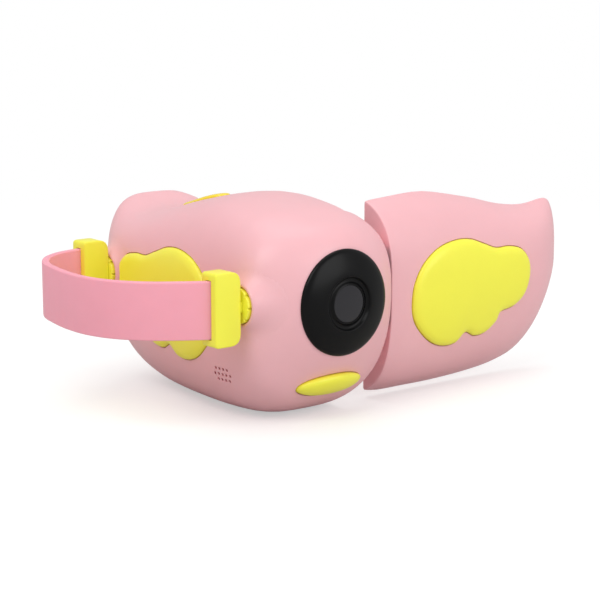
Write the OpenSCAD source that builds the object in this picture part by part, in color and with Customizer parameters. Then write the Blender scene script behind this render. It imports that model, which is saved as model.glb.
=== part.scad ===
// Bird-shaped kids digital camera with a flip-out screen and a wrist strap.
// Units are millimetres. +Z is up, the lens looks along -Y, the screen flap opens towards +X.
// Depths along the body are counted from the lens ring plane and called b; y = b - 37.

/* [Body] */
// wall thickness of the outer shells
wall = 2; // [1.6:0.1:2.6]
// x of the face that the closed flap covers
side_plane = 13.4; // [12:0.1:15]
// x of the flap rim when closed
rim_plane = 14.5; // [14:0.1:16]
// b of the flap's front end when closed
flap_front = 16; // [15:0.1:18]

/* [Lens] */
// height of the lens axis over the ground
axis_z = 37; // [30:0.1:42]
// outer radius of the lens ring
lens_ring_r = 16; // [12:0.1:18]
// radius of the glass disc
glass_r = 5.5; // [4:0.1:7]

/* [Flap hinge] */
// x of the flap's vertical hinge axis
hinge_x = 23.8; // [22:0.1:26]
// b of the flap's vertical hinge axis
hinge_b = 13.1; // [12:0.1:15]
// hinge pin radius
hinge_pin_r = 1; // [0.8:0.05:1.4]
// radius of the hinge barrel
barrel_r = 2.5; // [2:0.1:2.7]
// running clearance of turning parts
run_gap = 0.06; // [0.02:0.01:0.1]

/* [Strap] */
// b of the front strap boss
front_boss_b = 12; // [10:0.1:14]
// b of the rear strap boss
rear_boss_b = 84; // [80:0.1:86]
// height of the strap's boss axes over the ground
boss_z = 37.7; // [34:0.1:40]
// strap width
strap_w = 17; // [14:0.5:22]
// strap thickness
strap_t = 2.3; // [1.6:0.1:3]

/* [Controls] */
// radius of the side panel buttons
panel_button_r = 3.9; // [3:0.1:5]
// b of the top rocker's pin
rocker_b = 68.5; // [66:0.1:70]
// height of the top rocker's pin
rocker_z = 54.3; // [53.5:0.1:54.6]
// radius of the record button
record_r = 6; // [5:0.1:7]

/* [Hidden] */
front_y = -37;
ng = 0.1;
// stations along the body: b, half width, height over axis, depth under axis
full_b = 26.3;
nose_b = -2.2;
tail_b = 101.4;
nose_k = 3;
ring_cover = 16 / pow(1 - pow(full_b / (full_b - nose_b), nose_k), 1 / nose_k);
st_b = [0, 10, 20, 40, 60, 74, 86, 98];
st_w = [ring_cover, 28.9, 27.8, 28.4, 27.8, 27.5, 27.3, 24];
st_t = [ring_cover, 25.3, 26.6, 28.6, 24.9, 21, 19.8, 23];
st_u = [ring_cover, 33.2, 36.2, 37.7, 38.1, 37.4, 35, 28.4];
// squareness of the sections, above and below the axis
sq_b = [0, 10, 25, 50, 98];
sq_t = [2, 2.7, 2.9, 2.55, 3.4];
sq_u = [2, 2.8, 3.2, 2.75, 1.9];

function slope(xs, vs, i) =
  i == 0 ? 0 :
  i == len(xs) - 1 ? (vs[i] - vs[i - 1]) / (xs[i] - xs[i - 1]) :
  (vs[i + 1] - vs[i - 1]) / (xs[i + 1] - xs[i - 1]);
function cell(xs, x, i = 0) = i >= len(xs) - 2 || x < xs[i + 1] ? i : cell(xs, x, i + 1);
function blend(xs, vs, i, h, t) =
  (2 * t * t * t - 3 * t * t + 1) * vs[i] + (t * t * t - 2 * t * t + t) * h * slope(xs, vs, i)
  + (3 * t * t - 2 * t * t * t) * vs[i + 1] + (t * t * t - t * t) * h * slope(xs, vs, i + 1);
function clamp(x, lo, hi) = min(max(x, lo), hi);
function curve(xs, vs, x0) =
  let (x = clamp(x0, xs[0], xs[len(xs) - 1]), i = cell(xs, x), h = xs[i + 1] - xs[i])
  blend(xs, vs, i, h, (x - xs[i]) / h);

function nose(b) = b >= full_b ? 1 : pow(1 - pow((full_b - b) / (full_b - nose_b), nose_k), 1 / nose_k);
function shut(b, from, p, q) = pow(max(0, 1 - pow(clamp((b - from) / (tail_b - from), 0, 1), p)), 1 / q);
function half_w(b) = curve(st_b, st_w, b) * nose(b) * shut(b, 45, 4.4, 5);
function half_t(b) = curve(st_b, st_t, b) * nose(b) * shut(b, 45, 44, 10);
function half_u(b) = curve(st_b, st_u, b) * nose(b) * shut(b, 61.5, 5.4, 1.75);
function sgnpow(v, e) = v < 0 ? -pow(-v, e) : pow(v, e);
// b of the outer skin station whose inset copy, k inside, is at b
function from_inset(b, k) = nose_b + (b - nose_b - k) * (tail_b - nose_b) / (tail_b - nose_b - 2 * k);
function ring_pt(b, k, a) =
  let (up = sin(a) > 0, e = 2 / (up ? curve(sq_b, sq_t, b) : curve(sq_b, sq_u, b)))
  [max(0.05, half_w(b) - k) * sgnpow(cos(a), e),
   nose_b + k + (b - nose_b) * (tail_b - nose_b - 2 * k) / (tail_b - nose_b),
   axis_z + max(0.05, (up ? half_t(b) : half_u(b)) - k) * sgnpow(sin(a), e)];

n_nose = 11;
n_rear = 21;
n_round = 44;
rows = [
  for (i = [1:n_nose]) nose_b + (full_b - nose_b) * (1 - cos(90 * i / n_nose)),
  for (i = [1:n_rear]) full_b + (tail_b - 0.5 - full_b) * sin(80 * i / n_rear) / sin(80)
];

// closed egg-shaped solid, k inside the outer skin
module egg(k) {
  m = len(rows);
  pts = concat(
    [for (b = rows) for (j = [0:n_round - 1]) ring_pt(b, k, 360 * (j + 0.5) / n_round)],
    [[0, nose_b + k, axis_z], [0, ring_pt(rows[m - 1], k, 0)[1] + 0.05, axis_z - 1]]
  );
  skin = [
    for (i = [0:m - 2]) for (j = [0:n_round - 1])
      let (a = i * n_round + j, c = i * n_round + (j + 1) % n_round)
      for (f = [[a, c, a + n_round], [c, c + n_round, a + n_round]]) f
  ];
  caps = [
    for (j = [0:n_round - 1]) [(j + 1) % n_round, j, m * n_round],
    for (j = [0:n_round - 1])
      [(m - 1) * n_round + j, (m - 1) * n_round + (j + 1) % n_round, m * n_round + 1]
  ];
  polyhedron(points = pts, faces = concat(skin, caps), convexity = 6);
}

// outline of the egg at the plane x, k inside the skin, as [b, z] points
function cut_z(b, k, x, up) =
  let (s = from_inset(b, k), w = half_w(s) - k, n = up ? curve(sq_b, sq_t, s) : curve(sq_b, sq_u, s))
  let (h = (up ? half_t(s) : half_u(s)) - k)
  w > x ? h * pow(1 - pow(x / w, n), 1 / n) : 0;
module cut_outline(x, k, from, to, n = 26) {
  function at(i) = from + (to - from) * sin(90 * i / n);
  polygon(concat(
    [for (i = [0:n]) [at(i), axis_z + cut_z(at(i), k, x, true)]],
    [for (i = [n:-1:0]) [at(i), axis_z - cut_z(at(i), k, x, false)]]
  ));
}

// a drawing in [b, z], raised along +X from x
module along_x(x, t) {
  translate([x, 0, 0]) rotate([90, 0, 90]) linear_extrude(t) children();
}
module rod_x(x, b, z, r, len, f = 32) {
  translate([x, b, z]) rotate([0, 90, 0]) cylinder(h = len, r = r, $fn = f);
}
module rod_y(x, b, z, r, len, f = 32) {
  translate([x, b, z]) rotate([-90, 0, 0]) cylinder(h = len, r = r, $fn = f);
}
module block(x0, x1, b0, b1, z0, z1) {
  translate([x0, b0, z0]) cube([x1 - x0, b1 - b0, z1 - z0]);
}
// the part frame from the lens plane frame
module seat() {
  translate([0, front_y, 0]) children();
}
// from the closed flap to the open flap, which is the rest pose
module opened() {
  seat() translate([hinge_x, hinge_b, 0]) rotate([0, 0, -90]) translate([-hinge_x, -hinge_b, 0]) children();
}
// wing outline in [b, z]: a large front lobe, a rear lobe and a small lower feather
wing = [
  [25, 31], [26, 37], [29.5, 42.8], [35.5, 47], [43, 48.8], [50, 48.6], [56, 46.6], [61.5, 44.7],
  [67.5, 44.6], [73, 43.2], [76.6, 39.2], [77.2, 33.8], [75.2, 28], [70.5, 24.6], [64.3, 23.3],
  [62.6, 20.2], [58.4, 17.2], [53.4, 16.7], [48.6, 18.6], [44.6, 15.6], [39, 15.4], [33.6, 17.4],
  [28.6, 21.6], [25.7, 26]
];
function knot(p, i) = p[(i + len(p)) % len(p)];
function on_loop(p, i, t) =
  let (a = knot(p, i - 1), b = knot(p, i), c = knot(p, i + 1), d = knot(p, i + 2))
  0.5 * (2 * b + (c - a) * t + (2 * a - 5 * b + 4 * c - d) * t * t + (3 * b - a - 3 * c + d) * t * t * t);

screw_cols = [[22, 51], [45, 8.5], [87, 29]];
flap_cols = [[22.5, 54], [22.5, 19], [84, 49], [84, 20]];
board_cols = [[26, 33], [78, 24]];
buttons_b = [30, 43, 56];
buttons_z = 31;
grille = [
  for (r = [0:2]) for (i = [0:(r == 1 ? 4 : 3)]) [25 + 1.75 * (i - (r == 1 ? 2 : 1.5)), 16.2 - 1.75 * r]
];

// outer body, cut flat on the ground and open where the side panel sits
module body_shell() {
  color([0.96, 0.74, 0.77]) seat() difference() {
    union() {
      difference() {
        egg(0);
        difference() {
          egg(wall);
          block(11.4, 40, 14, 15.8, 0, 80);
        }
      }
      for (c = screw_cols) {
        far = reach(c[0], c[1], 2.5);
        rod_x(-far, c[0], c[1], 2.5, 11.4 + far, 24);
      }
      for (c = board_cols) rod_x(-reach(c[0], c[1], 2.2), c[0], c[1], 2.2, 2.6 + reach(c[0], c[1], 2.2), 20);
    }
    block(side_plane, 60, flap_front - 0.2, 120, -5, 90);
    difference() {
      block(hinge_x, 60, 8, 18, -5, 90);
      translate([hinge_x, hinge_b, -6]) cylinder(h = 99, r = 2.7, $fn = 32);
      block(hinge_x - 1, hinge_x + 2.7, 0, hinge_b, -6, 99);
    }
    block(18.5, 30, 9.2, 17, axis_z - 12, axis_z + 12);
    block(-60, 60, -10, 0, -5, 90);
    block(-60, 60, -10, 130, -9, 0);
    rod_y(0, -3, axis_z, 11.5, 9, 40);
    for (c = screw_cols) rod_x(0, c[0], c[1], 0.95, 12, 16);
    for (g = grille) rod_x(-34, g[0], g[1], 0.5, 12, 8);
    for (b = [front_boss_b, rear_boss_b]) rod_x(-40, b, boss_z, 7.5, 21.6, 48);
    translate([0, 0, 45]) linear_extrude(30) polygon(ring_of([0, rocker_b], 5.6, 11.4, 44));
    rod_y(0, 94, 44, record_r + 0.2, 12, 32);
  }
}

// flat panel behind the flap, with the buttons and sockets
module side_panel() {
  color([0.97, 0.84, 0.85]) seat() difference() {
    along_x(11.5, 1.8) cut_outline(side_plane, wall + 0.25, flap_front, tail_b - wall - 5.2);
    for (b = buttons_b) rod_x(11, b, buttons_z, panel_button_r + ng, 3, 48);
    for (c = screw_cols) {
      rod_x(11, c[0], c[1], 1.05, 3, 16);
      rod_x(12.2, c[0], c[1], 2.3, 3, 24);
    }
    block(11, 14, 70.8, 80.2, 31.4, 34.8);
    block(11, 14, 69.2, 81.8, 24.2, 26);
  }
}

module panel_screws() {
  color([0.6, 0.6, 0.63]) seat() for (c = screw_cols) {
    rod_x(3, c[0], c[1], 0.85, 9.3, 16);
    rod_x(12.25, c[0], c[1], 2, 0.9, 24);
  }
}

// black domed ring with a raised lip around the glass
module lens_bezel() {
  color([0.06, 0.06, 0.07]) seat() translate([0, 0, axis_z]) rotate([90, 0, 0]) rotate_extrude($fn = 72)
    polygon([
      [lens_ring_r, 0], [lens_ring_r, 0.6], [15.3, 1.3], [14, 1.9], [12, 2.5], [10, 2.95], [8.5, 3.15],
      [8.05, 3.1], [7.75, 2.6], [7.2, 2.35], [6.5, 2.45], [6.05, 2.75], [glass_r + 0.1, 2.85],
      [glass_r + 0.1, 0.4], [4.8, 0.4], [4.8, 0], [10.1, 0], [10.1, -3.5], [11.4, -3.5], [11.4, 0]
    ]);
}

module lens_window() {
  color([0.25, 0.22, 0.3, 0.5]) seat() translate([0, 0, axis_z]) rotate([90, 0, 0]) rotate_extrude($fn = 48)
    polygon([[0, 0.45], [glass_r, 0.45], [glass_r, 2.7], [4, 2.82], [2, 2.9], [0, 2.92]]);
}

module lens_barrel() {
  color([0.12, 0.12, 0.13]) seat() difference() {
    rod_y(0, 0.05, axis_z, 10, 14.15, 48);
    rod_y(0, -1, axis_z, 5, 5, 40);
    rod_y(0, 3, axis_z, 4.1, 20, 40);
  }
}

module front_lens() {
  color([0.7, 0.8, 0.9, 0.35]) seat() translate([0, 0.6, axis_z]) rotate([-90, 0, 0])
    rotate_extrude($fn = 40)
    polygon([[0, 0], [2.6, 0.3], [4.9, 1.1], [4.9, 2.2], [2.6, 2.9], [0, 3.2]]);
}

module rear_lens() {
  color([0.7, 0.8, 0.9, 0.35]) seat() translate([0, 7, axis_z]) rotate([-90, 0, 0]) rotate_extrude($fn = 40)
    polygon([[0, 0], [2.2, 0.2], [4, 0.7], [4, 1.5], [2.2, 1.9], [0, 2.1]]);
}

module image_sensor() {
  color([0.15, 0.16, 0.2]) seat() block(-3, 3, 13.2, 14.2, axis_z - 2.4, axis_z + 2.4);
}

module sensor_board() {
  color([0.1, 0.35, 0.2]) seat() block(-10, 10, 14.2, 15.4, axis_z - 10, axis_z + 10);
}

// distance of the outer skin: x at (b, z), z at (b, x), b at (x, z)
function inside(x, z, b) =
  let (up = z > axis_z, n = up ? curve(sq_b, sq_t, b) : curve(sq_b, sq_u, b))
  pow(abs(x) / half_w(b), n) + pow(abs(z - axis_z) / (up ? half_t(b) : half_u(b)), n) < 1;
function side_x(b, z) =
  let (up = z > axis_z, n = up ? curve(sq_b, sq_t, b) : curve(sq_b, sq_u, b))
  half_w(b) * pow(max(0.01, 1 - pow(abs(z - axis_z) / (up ? half_t(b) : half_u(b)), n)), 1 / n);
// how far a column of radius r may run before its rim reaches the outer face
function reach(b, z, r) = min([for (a = [0:45:315]) side_x(b + r * cos(a), z + r * sin(a))]) - 0.6;
function top_z(b, x) =
  let (n = curve(sq_b, sq_t, b)) axis_z + half_t(b) * pow(max(0.01, 1 - pow(abs(x) / half_w(b), n)), 1 / n);
function front_b(x, z, lo = nose_b + 0.01, hi = full_b, i = 0) =
  let (m = (lo + hi) / 2)
  i > 18 ? m : inside(x, z, m) ? front_b(x, z, lo, m, i + 1) : front_b(x, z, m, hi, i + 1);
// point of the skin under p, raised by d; kind is side, top or front
function on_skin(kind, p, d) =
  kind == "side" ? [side_x(p[0], p[1]) + d, p[0], p[1]] :
  kind == "top" ? [p[1], p[0], top_z(p[0], p[1]) + d] : [p[0], front_b(p[0], p[1]) - d, p[1]];

function ring_of(c, p, q, n) = [for (i = [0:n - 1]) c + [p * cos(i * 360 / n), q * sin(i * 360 / n)]];

// crowned pad that follows the skin: foot under it, crown over it
module skin_pad(kind, loop, c, foot, crown, edge = 0.45, pw = 14) {
  n = len(loop);
  tops = [1, 0.992, 0.965, 0.9, 0.75, 0.5, 0.25];
  feet = [1, 0.75, 0.5, 0.25];
  function rise(s) = foot + (crown - foot) * (edge + (1 - edge) * pow(1 - pow(s, pw), 0.5));
  function flip(f) = kind != "front" ? [f[2], f[1], f[0]] : f;
  a = len(tops);
  z = len(feet);
  pts = concat(
    [for (s = tops) for (p = loop) on_skin(kind, c + s * (p - c), rise(s))],
    [on_skin(kind, c, crown)],
    [for (s = feet) for (p = loop) on_skin(kind, c + s * (p - c), foot)],
    [on_skin(kind, c, foot)]
  );
  o = a * n + 1;
  faces = [
    for (j = [0:n - 1]) let (k = (j + 1) % n) each concat(
      [for (i = [0:a - 2]) each [
        [i * n + j, (i + 1) * n + j, i * n + k], [i * n + k, (i + 1) * n + j, (i + 1) * n + k]
      ]],
      [[(a - 1) * n + j, a * n, (a - 1) * n + k]],
      [for (i = [0:z - 2]) each [
        [o + i * n + k, o + (i + 1) * n + j, o + i * n + j],
        [o + (i + 1) * n + k, o + (i + 1) * n + j, o + i * n + k]
      ]],
      [[o + (z - 1) * n + k, o + z * n, o + (z - 1) * n + j]],
      [[j, k, o + j], [k, o + k, o + j]]
    )
  ];
  polyhedron(points = pts, faces = [for (f = faces) flip(f)], convexity = 4);
}

// long oval beak under the lens
module beak() {
  color([0.98, 0.85, 0.1]) seat()
    skin_pad("front", ring_of([0, 11.3], 11.9, 3.5, 36), [0, 11.3], 0.12, 3.2, 0.15, 2.4);
}

module wing_solid(d = [0, 0]) {
  loop = [for (i = [0:len(wing) - 1]) for (t = [0, 0.5]) on_loop(wing, i, t) + d];
  skin_pad("side", loop, [50, 33] + d, 0.12, 1.6, 0.3, 9);
}

module right_wing_pad() {
  color([0.98, 0.85, 0.1]) seat() difference() {
    mirror([1, 0, 0]) wing_solid([2.2, 0.8]);
    rod_x(-40, rear_boss_b, boss_z, 7.6, 20, 48);
  }
}

// half-bird cover of the screen
module flap_shell() {
  color([0.96, 0.74, 0.77]) opened() difference() {
    union() {
      difference() {
        intersection() {
          egg(0);
          block(rim_plane, 60, flap_front, 120, -5, 90);
        }
        intersection() {
          egg(1.8);
          block(rim_plane - 1, 60, flap_front + 1.8, 120, -5, 90);
        }
      }
      for (c = flap_cols) rod_x(16.2, c[0], c[1], 2.4, reach(c[0], c[1], 2.4) - 16.2, 20);
    }
    for (c = flap_cols) rod_x(12, c[0], c[1], 0.95, 9, 16);
    block(22.3, 25.3, 15, 18, axis_z - 7.3, axis_z + 7.3);
  }
}

module flap_wing_pad() {
  color([0.98, 0.85, 0.1]) opened() wing_solid();
}

// frame around the screen, set into the flap rim
module flap_frame() {
  color([0.97, 0.84, 0.85]) opened() difference() {
    along_x(rim_plane + 0.02, 1.6) cut_outline(16.2, 2.05, flap_front + 1.9, tail_b - wall - 6.2);
    block(10, 20, 32.8, 74.2, 18.3, 49.7);
    block(10, 15.4, 30.4, 76.6, 15.9, 52.1);
    for (c = flap_cols) {
      rod_x(12, c[0], c[1], 1.05, 6, 16);
      rod_x(10, c[0], c[1], 2.3, 5.3, 24);
    }
  }
}

module flap_screws() {
  color([0.6, 0.6, 0.63]) opened() for (c = flap_cols) {
    rod_x(15, c[0], c[1], 0.85, 5.5, 16);
    rod_x(14.55, c[0], c[1], 2, 0.7, 24);
  }
}

module screen_window() {
  color([0.08, 0.08, 0.1, 0.6]) opened() block(14.6, 15.4, 30.5, 76.5, 16, 52);
}

module lcd_module() {
  color([0.2, 0.2, 0.24]) opened() union() {
    block(16.14, 18.8, 28, 79, 16, 52);
    block(15.6, 16.14, 33.1, 73.9, 18.7, 49.3);
  }
}

// flap side of the hinge: barrel, arm and the leaf inside the flap
module hinge_arm() {
  color([0.3, 0.3, 0.33]) opened() difference() {
    union() {
      translate([hinge_x, hinge_b, axis_z - 8.8]) cylinder(h = 17.6, r = barrel_r, $fn = 48);
      block(22.6, 25, hinge_b, 18, axis_z - 7, axis_z + 7);
      block(17.6, 25.2, 17.9, 19.2, axis_z - 7, axis_z + 7);
    }
    translate([hinge_x, hinge_b, 0]) cylinder(h = 80, r = hinge_pin_r + run_gap, $fn = 48);
  }
}

// body side of the hinge: a block in the head's corner with two ears
module hinge_bracket() {
  color([0.3, 0.3, 0.33]) seat() difference() {
    union() {
      block(18.6, hinge_x, 9.3, 15.7, axis_z - 11.9, axis_z + 11.9);
      translate([hinge_x, hinge_b, axis_z - 11.9]) cylinder(h = 23.8, r = 2.6, $fn = 48);
    }
    translate([hinge_x, hinge_b, axis_z - 9]) cylinder(h = 18, r = 3.5, $fn = 48);
    translate([hinge_x, hinge_b, 0]) cylinder(h = 80, r = hinge_pin_r, $fn = 48);
  }
}

module hinge_pin() {
  color([0.75, 0.75, 0.78]) seat()
    translate([hinge_x, hinge_b, axis_z - 11.9]) cylinder(h = 23.8, r = hinge_pin_r, $fn = 48);
}

// raised collar that guides a strap clip
module strap_socket(b) {
  color([0.94, 0.66, 0.71]) seat() difference() {
    rod_x(-29, b, boss_z, 7.4, 7.6, 64);
    rod_x(-30, b, boss_z, 5.35, 2.5, 64);
    rod_x(-30, b, boss_z, 3 + run_gap, 10, 48);
  }
}
module front_strap_socket() {
  strap_socket(front_boss_b);
}
module rear_strap_socket() {
  strap_socket(rear_boss_b);
}

// strap clip: disc and stem in the collar, short neck, block with the strap slot
module strap_clip(b) {
  color([0.98, 0.85, 0.1]) seat() difference() {
    union() {
      rod_x(-29.8, b, boss_z, 5.25, 2.2, 64);
      rod_x(-28, b, boss_z, 3, 8.1, 48);
      block(-31.2, -29.7, b - 2.5, b + 2.5, boss_z - 1.6, boss_z + 1.6);
      translate([0, b + 3.5, 0]) rotate([90, 0, 0]) linear_extrude(7) polygon([
        [-31, boss_z - 7.9], [-31.25, boss_z - 9.2], [-32, boss_z - 10.3], [-33.1, boss_z - 10.9],
        [-38.8, boss_z - 10.9], [-39.6, boss_z - 10.6], [-40, boss_z - 9.9], [-40, boss_z + 9.9],
        [-39.6, boss_z + 10.6], [-38.8, boss_z + 10.9], [-33.1, boss_z + 10.9], [-32, boss_z + 10.3],
        [-31.25, boss_z + 9.2], [-31, boss_z + 7.9]
      ]);
    }
    gap = strap_w / 2 + 0.2;
    block(-42, -33, b - strap_t / 2 - ng, b + strap_t / 2 + ng, boss_z - gap, boss_z + gap);
    block(-42, -38.4, b - strap_t / 2 - 0.8, b + strap_t / 2 + 0.8, boss_z - gap, boss_z + gap);
    translate([-36, b, 0]) cylinder(h = 80, r = 0.9, $fn = 32);
  }
}
module front_strap_clip() {
  strap_clip(front_boss_b);
}
module rear_strap_clip() {
  strap_clip(rear_boss_b);
}

module clip_retainer(b) {
  color([0.85, 0.85, 0.85]) seat() difference() {
    rod_x(-21.3, b, boss_z, 4.8, 1.4, 48);
    rod_x(-23, b, boss_z, 3, 4, 48);
  }
}
module front_clip_retainer() {
  clip_retainer(front_boss_b);
}
module rear_clip_retainer() {
  clip_retainer(rear_boss_b);
}

module strap_pin(b) {
  color([0.75, 0.75, 0.78]) seat() translate([-36, b, boss_z - 10.4]) cylinder(h = 20.8, r = 0.9, $fn = 32);
}
module front_strap_pin() {
  strap_pin(front_boss_b);
}
module rear_strap_pin() {
  strap_pin(rear_boss_b);
}

// centre line of the strap in [x, b], from the front clip round to the rear clip
path = [
  [-33.4, front_boss_b], [-36.6, front_boss_b], [-40, front_boss_b + 0.3], [-46.5, 16.2], [-54, 21.8],
  [-60.2, 29.8], [-63.3, 39], [-63.6, 49], [-62.2, 59], [-59.8, 68.2], [-54.6, 76.4],
  [-47.4, 81.6], [-40, rear_boss_b - 0.3], [-36.6, rear_boss_b], [-33.4, rear_boss_b]
];
function along(p, i, t) =
  let (n = len(p) - 1, b = p[i], c = p[i + 1], a = i == 0 ? b : p[i - 1], d = i == n - 1 ? c : p[i + 2])
  0.5 * (2 * b + (c - a) * t + (2 * a - 5 * b + 4 * c - d) * t * t + (3 * b - a - 3 * c + d) * t * t * t);
line = [for (i = [0:len(path) - 2]) for (t = [0:0.25:0.76]) along(path, i, t), path[len(path) - 1]];
function side_pt(i, s) =
  let (a = line[max(i - 1, 0)], c = line[min(i + 1, len(line) - 1)], d = (c - a) / norm(c - a))
  line[i] + s * [-d[1], d[0]];
// soft wrist strap
module strap() {
  color([0.95, 0.5, 0.58]) seat() difference() {
    translate([0, 0, boss_z - strap_w / 2]) linear_extrude(strap_w) polygon(concat(
      [for (i = [0:len(line) - 1]) side_pt(i, strap_t / 2)],
      [for (i = [len(line) - 1:-1:0]) side_pt(i, -strap_t / 2)]
    ));
    for (b = [front_boss_b, rear_boss_b]) translate([-36, b, 0]) cylinder(h = 80, r = 1, $fn = 24);
  }
}

// oval rocker on top of the back: crown that follows the skin, hub, and two legs to the switches
module zoom_rocker() {
  color([0.98, 0.85, 0.1]) seat() difference() {
    union() {
      skin_pad("top", ring_of([rocker_b, 0], 11, 5.2, 44), [rocker_b, 0], -2.6, 1.4, 0.7, 6);
      rod_x(-3.7, rocker_b, rocker_z, 2.4, 7.4, 40);
      block(-3.7, 3.7, rocker_b - 2, rocker_b + 2, rocker_z, rocker_z + 3.6);
      block(-2.5, 2.5, rocker_b - 6.7, rocker_b - 5.3, 49.5, 60);
      block(-2.5, 2.5, rocker_b + 5.3, rocker_b + 6.7, 49.5, 56.5);
    }
    rod_x(-9, rocker_b, rocker_z, 1, 18, 40);
  }
}

module rocker_pin() {
  color([0.75, 0.75, 0.78]) seat() rod_x(-5.6, rocker_b, rocker_z, 1 - run_gap, 11.2, 40);
}

// carrier under the rocker with the two ears of its pin
module top_carrier() {
  color([0.85, 0.85, 0.85]) seat() difference() {
    union() {
      block(-8, 8, 55, 82, 50.2, 51.6);
      for (x = [-5.8, 4]) block(x, x + 1.8, rocker_b - 2.4, rocker_b + 2.4, 51.6, 55.7);
      for (x = [-7.4, 5.4]) block(x, x + 2, 55.5, 57.5, 45.2, 51);
      for (x = [-7.4, 5.4]) block(x, x + 2, 79.5, 81.5, 45.2, 51);
    }
    rod_x(-9, rocker_b, rocker_z, 1 - run_gap, 18, 40);
    block(-3.95, 3.95, 60.5, 76.5, 50, 53);
  }
}

module top_board() {
  color([0.1, 0.35, 0.2]) seat() block(-8, 8, 55, 82, 44, 45.2);
}

// push switch with its plunger along +Z
module switch_z(b) {
  block(-3, 3, b - 3, b + 3, 45.2, 48.2);
  translate([0, b, 48.2]) cylinder(h = 0.5, r = 1.6, $fn = 24);
}
module top_switches() {
  color([0.15, 0.15, 0.16]) seat() union() {
    switch_z(rocker_b - 6);
    switch_z(rocker_b + 6);
  }
}

module panel_button(b) {
  color([0.98, 0.85, 0.1]) seat() union() {
    rod_x(10.7, b, buttons_z, panel_button_r, 3.5, 48);
    rod_x(10.4, b, buttons_z, 5, 0.8, 48);
    rod_x(9, b, buttons_z, 1.5, 1.5, 32);
  }
}
module power_button() {
  panel_button(buttons_b[0]);
}
module mode_button() {
  panel_button(buttons_b[1]);
}
module playback_button() {
  panel_button(buttons_b[2]);
}

module panel_switches() {
  color([0.15, 0.15, 0.16]) seat() for (b = buttons_b) {
    block(4.2, 7.7, b - 3, b + 3, buttons_z - 3, buttons_z + 3);
    rod_x(7.7, b, buttons_z, 1.6, 0.5, 24);
  }
}

module main_board() {
  color([0.1, 0.35, 0.2]) seat() block(2.62, 4.2, 22, 82, 16, 42);
}

module battery() {
  color([0.75, 0.76, 0.8]) seat() block(-18, -12, 32, 74, 15, 41);
}

module speaker() {
  color([0.1, 0.1, 0.11]) seat() union() {
    rod_x(-21.4, 26, 18.5, 5.5, 2.6, 40);
    rod_x(-18.9, 26, 18.5, 3.5, 1.6, 32);
  }
}

module usb_socket() {
  color([0.75, 0.75, 0.78]) seat() difference() {
    block(4.2, 12.8, 71, 80, 31.6, 34.6);
    block(5.2, 14, 71.5, 79.5, 32, 34.2);
  }
}

module card_socket() {
  color([0.75, 0.75, 0.78]) seat() difference() {
    block(4.2, 12.8, 69.4, 81.6, 24.4, 25.8);
    block(5.2, 14, 69.9, 81.1, 24.7, 25.5);
  }
}

module record_button() {
  color([0.98, 0.85, 0.1]) seat() union() {
    rod_y(0, 93.4, 44, record_r, 8.9, 64);
    rod_y(0, 92.2, 44, 7, 1.3, 64);
    rod_y(0, 89.6, 44, 2, 3, 32);
  }
}

// ring that guides the record button, on two arms from the rear board
module record_guide() {
  color([0.85, 0.85, 0.85]) seat() difference() {
    union() {
      rod_y(0, 93.7, 44, 8.4, 3, 64);
      for (x = [-9.4, 7.6]) block(x, x + 1.8, 85.2, 96.7, 42, 46);
    }
    rod_y(0, 80, 44, record_r + run_gap, 30, 64);
  }
}

module record_board() {
  color([0.1, 0.35, 0.2]) seat() block(-10, 10, 84, 85.2, 36, 52);
}

module record_switch() {
  color([0.15, 0.15, 0.16]) seat() union() {
    block(-3, 3, 85.2, 88.4, 41, 47);
    rod_y(0, 88.4, 44, 1.6, 0.5, 24);
  }
}

body_shell();
side_panel();
panel_screws();
lens_bezel();
lens_window();
lens_barrel();
front_lens();
rear_lens();
image_sensor();
sensor_board();
beak();
right_wing_pad();
flap_shell();
flap_wing_pad();
flap_frame();
flap_screws();
screen_window();
lcd_module();
hinge_arm();
hinge_bracket();
hinge_pin();
front_strap_socket();
rear_strap_socket();
front_strap_clip();
rear_strap_clip();
front_clip_retainer();
rear_clip_retainer();
front_strap_pin();
rear_strap_pin();
strap();
zoom_rocker();
rocker_pin();
top_carrier();
top_board();
top_switches();
power_button();
mode_button();
playback_button();
panel_switches();
main_board();
battery();
speaker();
usb_socket();
card_socket();
record_button();
record_guide();
record_board();
record_switch();
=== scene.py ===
import math

import bmesh
import bpy
import numpy as np
from mathutils import Matrix, Vector


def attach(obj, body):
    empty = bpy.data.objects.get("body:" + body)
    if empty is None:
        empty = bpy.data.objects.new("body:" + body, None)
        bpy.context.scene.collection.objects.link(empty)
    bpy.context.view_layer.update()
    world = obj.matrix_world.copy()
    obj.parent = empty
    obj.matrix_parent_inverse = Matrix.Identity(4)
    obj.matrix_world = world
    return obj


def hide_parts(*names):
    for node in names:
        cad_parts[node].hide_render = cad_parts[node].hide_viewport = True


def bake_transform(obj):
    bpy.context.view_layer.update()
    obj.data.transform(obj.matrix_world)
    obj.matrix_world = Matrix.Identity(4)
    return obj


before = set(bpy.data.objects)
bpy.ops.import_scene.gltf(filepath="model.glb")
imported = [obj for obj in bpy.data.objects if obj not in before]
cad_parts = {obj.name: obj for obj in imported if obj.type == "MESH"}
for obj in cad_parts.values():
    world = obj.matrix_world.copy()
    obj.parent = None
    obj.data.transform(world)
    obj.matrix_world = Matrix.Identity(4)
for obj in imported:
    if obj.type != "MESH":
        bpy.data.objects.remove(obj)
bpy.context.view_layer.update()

MM = 0.001
scene = bpy.context.scene
scene.view_settings.view_transform = "Standard"

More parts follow.
